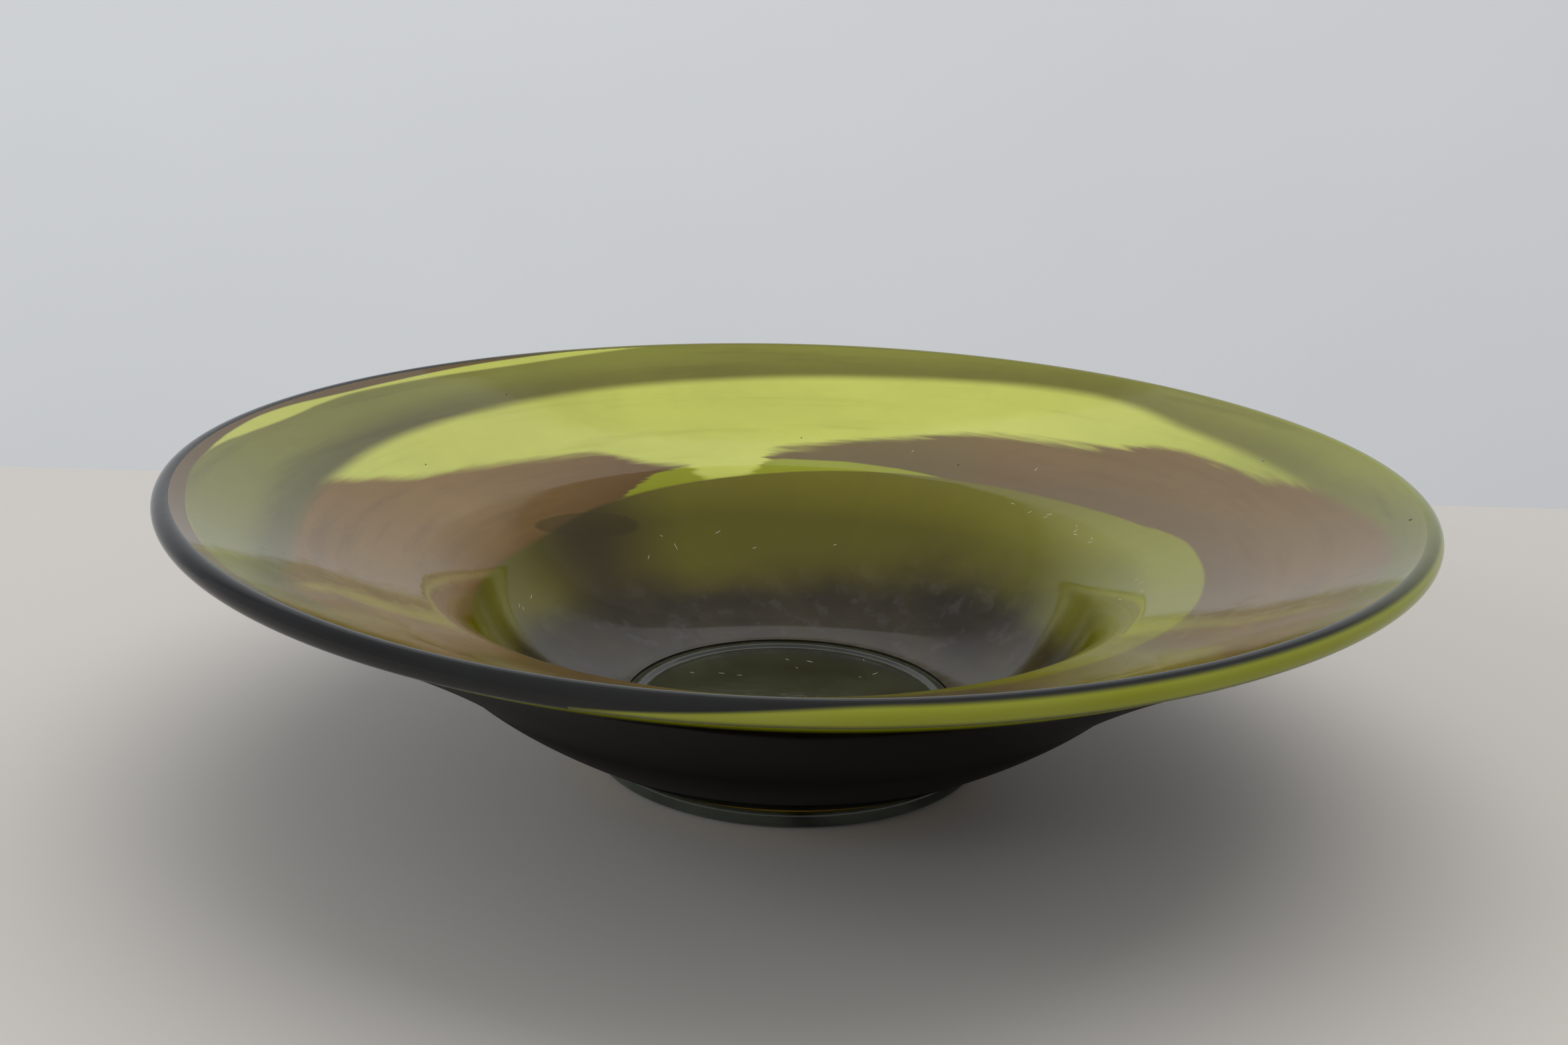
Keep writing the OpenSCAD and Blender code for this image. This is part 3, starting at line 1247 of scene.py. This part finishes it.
@dataclass
class Base:
    """The clear disc in the floor and the applied foot.

    Attributes:
        form: The bowl's shape.
        recess_r: Radius of the ground recess under the foot, in millimetres.
        recess_h: Its depth.
        ring_w: Width of the disc's raised edge.
        step: Height of that edge over the disc.
        low_round: Rounding of the foot's lower edge.
        high_round: Rounding of its upper edge.
    """

    form: Form
    recess_r: float = 37.0
    recess_h: float = 1.4
    ring_w: float = 3.0
    step: float = 0.5
    low_round: float = 1.6
    high_round: float = 1.1

    def lens(self) -> bpy.types.Object:
        """Turns the disc, with a raised rounded edge."""
        f = self.form
        inner = f.lens_r - self.ring_w
        crown = f.floor_h - self.step
        rows = [(0.0, f.foot_h), (f.lens_r * 0.5, f.foot_h), (f.lens_r, f.foot_h),
                (f.lens_r, f.floor_h - 1.0), (f.lens_r, f.floor_h + 0.05),
                (f.lens_r - 0.25, f.floor_h + 0.18), (inner + 1.6, f.floor_h + 0.12),
                (inner + 0.5, f.floor_h + 0.08), (inner + 0.1, f.floor_h - 0.05),
                (inner - 0.4, crown + 0.12), (inner - 0.9, crown),
                (inner - 2.2, crown - 0.12), (inner - 3.4, crown - 0.02)]
        rows += [(r, crown) for r in np.linspace(inner - 5, 0.0, 12)]
        obj = Bench.turned("floor_lens", rows, steps=160)
        Bench.smooth(obj, 60)
        return settle(obj, ClearGlass("lens_glass", gloss=0.06, wavy=0.06,
                                      through=0.25), "base_lens")

    def foot(self) -> bpy.types.Object:
        """Turns the foot, with rounded edges and a ground recess."""
        f = self.form
        r, h = f.foot_r, f.foot_h
        rows = [(0.0, self.recess_h)]
        rows += [(x, self.recess_h) for x in np.linspace(8, self.recess_r - 0.8, 6)]
        rows += [(self.recess_r, self.recess_h - 0.5), (self.recess_r + 0.3, 0.35),
                 (self.recess_r + 0.8, 0.05), (self.recess_r + 1.4, 0.0)]
        rows += [(x, 0.0) for x in np.linspace(self.recess_r + 4, r - 2.6, 4)]
        low, high = self.low_round, self.high_round
        quarter = np.radians(np.linspace(0, 90, 7))
        rows += [(r - low + low * math.sin(a), low - low * math.cos(a))
                 for a in quarter]
        rows += [(r - high + high * math.cos(a), h - high + high * math.sin(a))
                 for a in quarter]
        rows += [(x, h) for x in np.linspace(r - 6, 0.0, 6)]
        obj = Bench.turned("applied_foot", rows, steps=200)
        Bench.smooth(obj, 50)
        return settle(obj, ClearGlass("foot_glass", gloss=0.04, main=Hue.FOOT,
                                      second=Hue.LENS, through=0.85, wavy=0.04),
                      "foot_disc")

    def build(self) -> None:
        """Turns both pieces."""
        self.lens()
        self.foot()


@dataclass
class Flecks:
    """Small nicks, scratches and seed bubbles in the glass.

    Attributes:
        form: The bowl's shape.
        clusters: Angle, radius, reach in degrees, reach in mm and count of marks.
        seeds: Angle, radius and size of each bubble.
        long: Mean length of a mark, in millimetres.
        spread: How much longer or shorter it may be.
        wide: Its width.
    """

    form: Form
    clusters: tuple[tuple[float, float, float, float, int], ...] = (
        (32, 91, 12, 1.6, 9), (355, 90, 9, 3.0, 4), (100, 77, 24, 4.0, 6),
        (162, 73, 4, 1.6, 3), (95, 29, 55, 10.0, 9), (60, 112, 20, 8.0, 2))
    seeds: tuple[tuple[float, float, float], ...] = (
        (349, 153, 0.5), (20, 141, 0.35), (88, 110, 0.3), (152, 118, 0.3),
        (60, 104, 0.3), (305, 60, 0.35), (210, 70, 0.35), (130, 140, 0.3))
    long: float = 1.7
    spread: float = 0.9
    wide: float = 0.15

    def nicks(self) -> list[Spot]:
        """Scatters the small marks in their clusters, the same each time."""
        draw = np.random.default_rng(7)
        marks: list[Spot] = []
        for angle, radius, turn, out, count in self.clusters:
            for _ in range(count):
                a, r, size, heading = draw.uniform(-1, 1, 4)
                marks.append((angle + turn * a, radius + out * r,
                              self.long + self.spread * size, self.wide,
                              90 * heading))
        return marks

    def on_surface(self, degrees: float, radius: float) -> tuple[Vector, Matrix]:
        """A place on the inside surface and the axes of the surface there.

        Args:
            degrees: Angle of the place.
            radius: Its radius in millimetres.

        Returns:
            The place in metres, and a turn whose z is the surface's normal.
        """
        track = Track(self.form.inside())
        if radius < self.form.lens_r:
            height, rise = self.form.floor_h - 0.5, 0.0
        else:
            run = float(track.run_at(np.array([radius]))[0])
            (r0, r1), (z0, z1) = track.place(np.array([run - 0.3, run + 0.3]))
            height, rise = (z0 + z1) / 2, math.atan2(z1 - z0, r1 - r0)
            radius = (r0 + r1) / 2
        a = math.radians(degrees)
        co = np.array([[radius * math.cos(a), radius * math.sin(a), height]]) * MM
        axes = Matrix.Rotation(a, 4, "Z") @ Matrix.Rotation(-rise, 4, "Y")
        return Vector(hand_made(co)[0]), axes

    def grains(self, name: str, spots: Sequence[Spot],
               finish: Finish) -> bpy.types.Object:
        """Copies one small rounded grain to many spots, as one piece.

        Args:
            name: Name of the piece.
            spots: Angle, radius, length, width and heading of each grain.
            finish: Its finish.

        Returns:
            The new piece.
        """
        Bench.clear()
        bpy.ops.mesh.primitive_ico_sphere_add(subdivisions=2, radius=1.0)
        first = bpy.context.object
        made: list[bpy.types.Object] = []
        for degrees, radius, long, wide, heading in spots:
            grain = bpy.data.objects.new(name, first.data.copy())
            bpy.context.collection.objects.link(grain)
            place, turn = self.on_surface(degrees, radius)
            size = Matrix.Diagonal((long * MM / 2, wide * MM / 2, wide * MM / 3.2, 1))
            spin = Matrix.Rotation(math.radians(heading), 4, "Z")
            grain.data.transform(Matrix.Translation(place) @ turn @ spin @ size)
            made.append(grain)
        bpy.data.meshes.remove(first.data)
        Bench.take(made[0])
        for grain in made:
            grain.select_set(True)
        bpy.ops.object.join()
        obj = bpy.context.object
        obj.name = obj.data.name = name
        Bench.smooth(obj, 80)
        return settle(obj, finish, "base_lens", stands=False)

    def build(self) -> None:
        """Places the marks and the bubbles."""
        self.grains("wear_flecks", self.nicks(), FleckFinish("fleck_white", gloss=0.35))
        self.grains("seed_bubbles", [(a, r, 2 * s, 2 * s, 0) for a, r, s in self.seeds],
                    ClearGlass("seed_glass", gloss=0.04, main=Hue.FOOT,
                               second=Hue.LENS, through=0.5))


@dataclass
class Bowl:
    """The whole bowl.

    Attributes:
        form: Its turned shape.
    """

    form: Form = field(default_factory=Form)

    def fields(self) -> list[ColourField]:
        """The colour fields of the lining, from the middle outwards."""
        rows = (("smoke", "smoke_pool", Edge.POOL, 0, 360, 34),
                ("green", "green_well", Edge.GREEN, 0, 360, 26),
                ("tongue", "lime_tongue", Edge.TONGUE, 55, 75, 8),
                ("amber", "amber_band", Edge.AMBER, 0, 360, 36),
                ("lime", "lime_crescent", Edge.OLIVE, 0, 360, 34),
                ("olive", "olive_band", Edge.STREAK_IN, 0, 360, 24),
                ("streak", "lime_sliver", Edge.STREAK_OUT, 100, 100, 4),
                ("edge", "smoke_edge", Edge.LIP, 110, 160, 8))
        return [ColourField(name, node, self.form, outer, start, sweep, rings)
                for name, node, outer, start, sweep, rings in rows]

    def build(self) -> None:
        """Builds every piece in order."""
        for part in (Casing(self.form), *self.fields(), Lip(self.form),
                     Base(self.form), Flecks(self.form)):
            part.build()


# Studio


@dataclass
class Studio:
    """The pale table top and wall, the soft lights and the camera.

    Attributes:
        eye: Where the camera stands.
        pitch: How far it looks down, in degrees.
        yaw: How far it looks to the right of straight back, in degrees.
        roll: How far it leans, in degrees.
        lens: Its focal length on a 36 mm wide sensor.
        back: Where the table top ends behind the bowl.
        table: Width, depth and thickness of the table top.
        gap: How far the table top lies below the foot.
        wall_y: Where the wall stands.
        aim: The point that the lights face.
        pale: Colour and strength of the surroundings.
    """

    eye: Triple = (0.0, -0.495, 0.213)
    pitch: float = 16.93
    yaw: float = -0.29
    roll: float = 1.47
    lens: float = 45.9
    back: float = 0.255
    table: Triple = (4.0, 3.0, 0.03)
    gap: float = 0.0003
    wall_y: float = 1.6
    aim: Triple = (0.0, 0.0, 0.05)
    pale: tuple[float, float, float, float] = (0.84, 0.85, 0.87, 0.62)

    def camera(self) -> None:
        """Places the camera."""
        data = bpy.data.cameras.new("camera")
        data.lens, data.sensor_width, data.clip_start = self.lens, 36.0, 0.01
        obj = bpy.data.objects.new("camera", data)
        p, y, a = map(math.radians, (self.pitch, self.yaw, self.roll))
        ahead = Vector((math.sin(y) * math.cos(p), math.cos(y) * math.cos(p),
                        -math.sin(p)))
        right = ahead.cross(Vector((0, 0, 1))).normalized()
        up = right.cross(ahead)
        x_axis = right * math.cos(a) + up * math.sin(a)
        y_axis = -right * math.sin(a) + up * math.cos(a)
        turn = Matrix((x_axis, y_axis, -ahead)).transposed().to_4x4()
        obj.matrix_world = Matrix.Translation(self.eye) @ turn
        bpy.context.collection.objects.link(obj)
        bpy.context.scene.camera = obj

    def room(self) -> None:
        """Makes the table top and the wall behind it."""
        Bench.clear()
        bpy.ops.mesh.primitive_cube_add(size=1.0)
        top = bpy.context.object
        top.name = top.data.name = "table_top"
        depth, thick = self.table[1:]
        Bench.place(top, Bench.points(top) * np.array(self.table)
                    + np.array([0.0, self.back - depth / 2, -thick / 2 - self.gap]))
        edge = top.modifiers.new("edge", "BEVEL")
        edge.width, edge.segments = 0.003, 3
        Bench.apply(top, edge)
        Bench.smooth(top, 40)
        Bench.clear()
        bpy.ops.mesh.primitive_plane_add(size=1.0)
        wall = bpy.context.object
        wall.name = wall.data.name = "pale_wall"
        flat = Bench.points(wall)
        Bench.place(wall, np.stack([flat[:, 0] * 8, np.full(4, self.wall_y),
                                    flat[:, 1] * 4 + 0.6], axis=1))
        for obj, finish in ((top, StageFinish("table_top", gloss=0.65)),
                            (wall, StageFinish("wall_paint", gloss=0.65,
                                               tone=(0.78, 0.79, 0.80)))):
            obj.data.materials.append(finish.make())

    def light(self, name: str, place: Triple, size: Point, watts: float,
              colour: Colour) -> None:
        """Hangs one soft rectangular light, which polished glass doesn't mirror.

        Args:
            name: Name of the light.
            place: Where it hangs, in metres.
            size: Its width and height, in metres.
            watts: Its power.
            colour: Its colour.
        """
        data = bpy.data.lights.new(name, "AREA")
        data.shape, data.size, data.size_y = "RECTANGLE", *size
        data.energy, data.color = watts, colour
        obj = bpy.data.objects.new(name, data)
        ahead = Vector(self.aim) - Vector(place)
        obj.rotation_mode = "QUATERNION"
        obj.rotation_quaternion = ahead.to_track_quat("-Z", "Y")
        obj.location = place
        obj.visible_glossy = False
        bpy.context.collection.objects.link(obj)

    def lights(self) -> None:
        """Hangs the lights and sets the pale surroundings."""
        self.light("ceiling", (0.3, 0.5, 2.2), (2.6, 2.2), 30, (1.0, 1.0, 1.0))
        self.light("window", (-2.1, -0.85, 0.95), (0.95, 1.3), 22, (0.90, 0.95, 1.0))
        world = bpy.data.worlds.new("pale_room")
        bpy.context.scene.world = world
        world.use_nodes = True
        back = world.node_tree.nodes["Background"]
        *tone, strength = self.pale
        back.inputs["Color"].default_value = (*tone, 1.0)
        back.inputs["Strength"].default_value = strength

    def build(self) -> None:
        """Sets up the studio."""
        self.camera()
        self.room()
        self.lights()
        bpy.context.scene.view_settings.view_transform = "Standard"


def write_sizes() -> None:
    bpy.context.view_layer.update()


def main() -> None:
    """Builds the bowl and the studio."""
    Swirl().build()
    Bowl().build()
    Studio().build()
    write_sizes()


if __name__ == "__main__":
    main()
